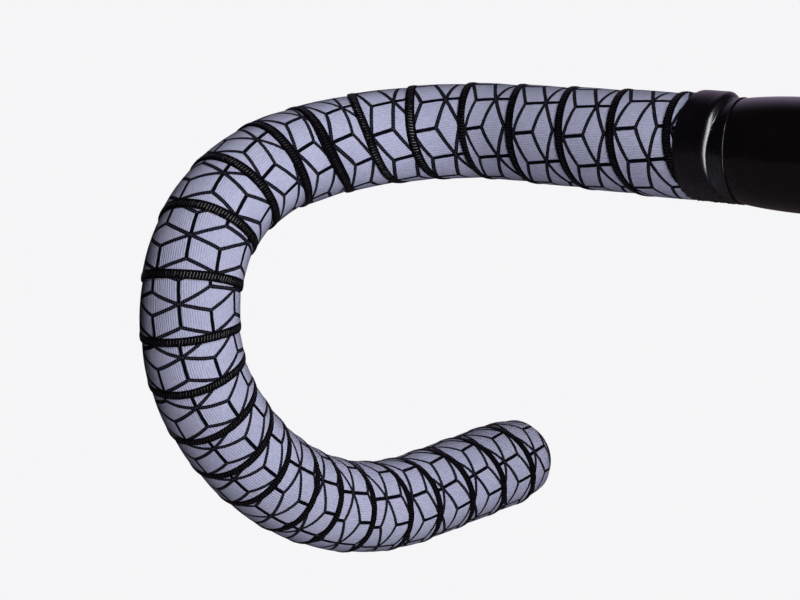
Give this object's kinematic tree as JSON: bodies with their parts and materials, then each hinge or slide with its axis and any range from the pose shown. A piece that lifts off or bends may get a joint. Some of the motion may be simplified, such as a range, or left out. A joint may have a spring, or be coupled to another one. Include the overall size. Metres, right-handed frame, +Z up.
{
  "type": "taped drop handlebar half",
  "caption": "One side of a drop handlebar wound with woven ribbon tape in a lattice of diamonds, with its finishing tape, bare clamp end and end plug.",
  "frame": {"origin": "middle of the stem clamp, on the tube's axis", "axes": "+X inboard along the clamp axis, +Y rearward, +Z up; this half lies at -X and its drop hangs below it"},
  "size_m": [0.2296, 0.1737, 0.1543],
  "materials": {
    "gloss_black_tube": "gloss black lacquer",
    "woven_ribbon": "lavender grey woven ribbon, black ribbed selvedge",
    "adhesive_tape": "gloss black",
    "plug_plastic": "satin black"
  },
  "bodies": {
    "root": {"handlebar_tube": "gloss_black_tube", "handlebar_tape": "woven_ribbon", "finishing_tape": "adhesive_tape", "end_plug": "plug_plastic"}
  },
  "joints": []
}
